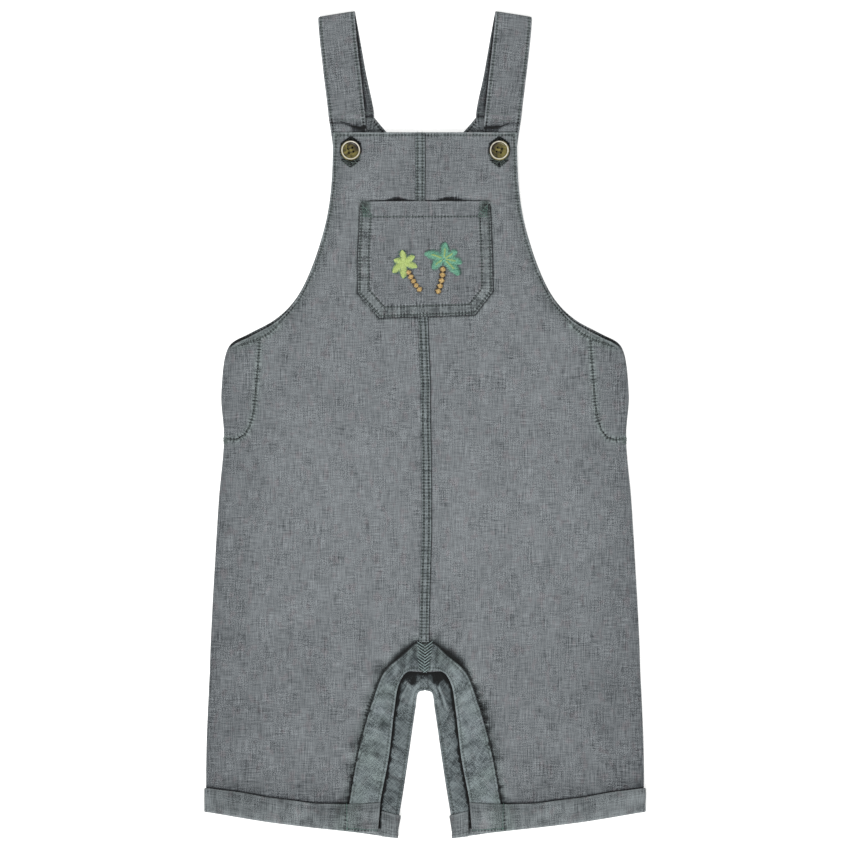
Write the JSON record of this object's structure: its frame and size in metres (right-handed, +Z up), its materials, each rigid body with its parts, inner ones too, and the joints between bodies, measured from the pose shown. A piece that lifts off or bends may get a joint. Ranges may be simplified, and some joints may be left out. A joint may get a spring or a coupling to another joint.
{
  "type": "toddler short dungarees",
  "caption": "Short chambray dungarees laid flat, with a bib pocket, buttoned straps, open inner-leg bands and turned-up hems.",
  "frame": {"origin": "on the surface under the middle of the garment's box", "axes": "+Y towards the straps, +X to the right of someone looking at the bib, +Z up from the surface through the back and then the front"},
  "size_m": [0.3092, 0.5788, 0.0083],
  "materials": {
    "chambray": "washed grey chambray, slubby plain weave",
    "seam_chambray": "washed grey chambray in several layers, puckered at its stitching",
    "button": "horn-effect polyester, dished, with a paler rim"
  },
  "bodies": {
    "root": {"front_left": "chambray", "front_right": "chambray", "back_left": "chambray", "back_right": "chambray", "centre_front_seam": "seam_chambray", "pocket": "chambray", "strap_left": "chambray", "strap_right": "chambray", "front_placket_left": "seam_chambray", "front_placket_right": "seam_chambray", "back_placket_left": "seam_chambray", "back_placket_right": "seam_chambray", "cuff_left": "chambray", "cuff_right": "chambray", "button_left": "button", "button_right": "button"}
  },
  "joints": []
}
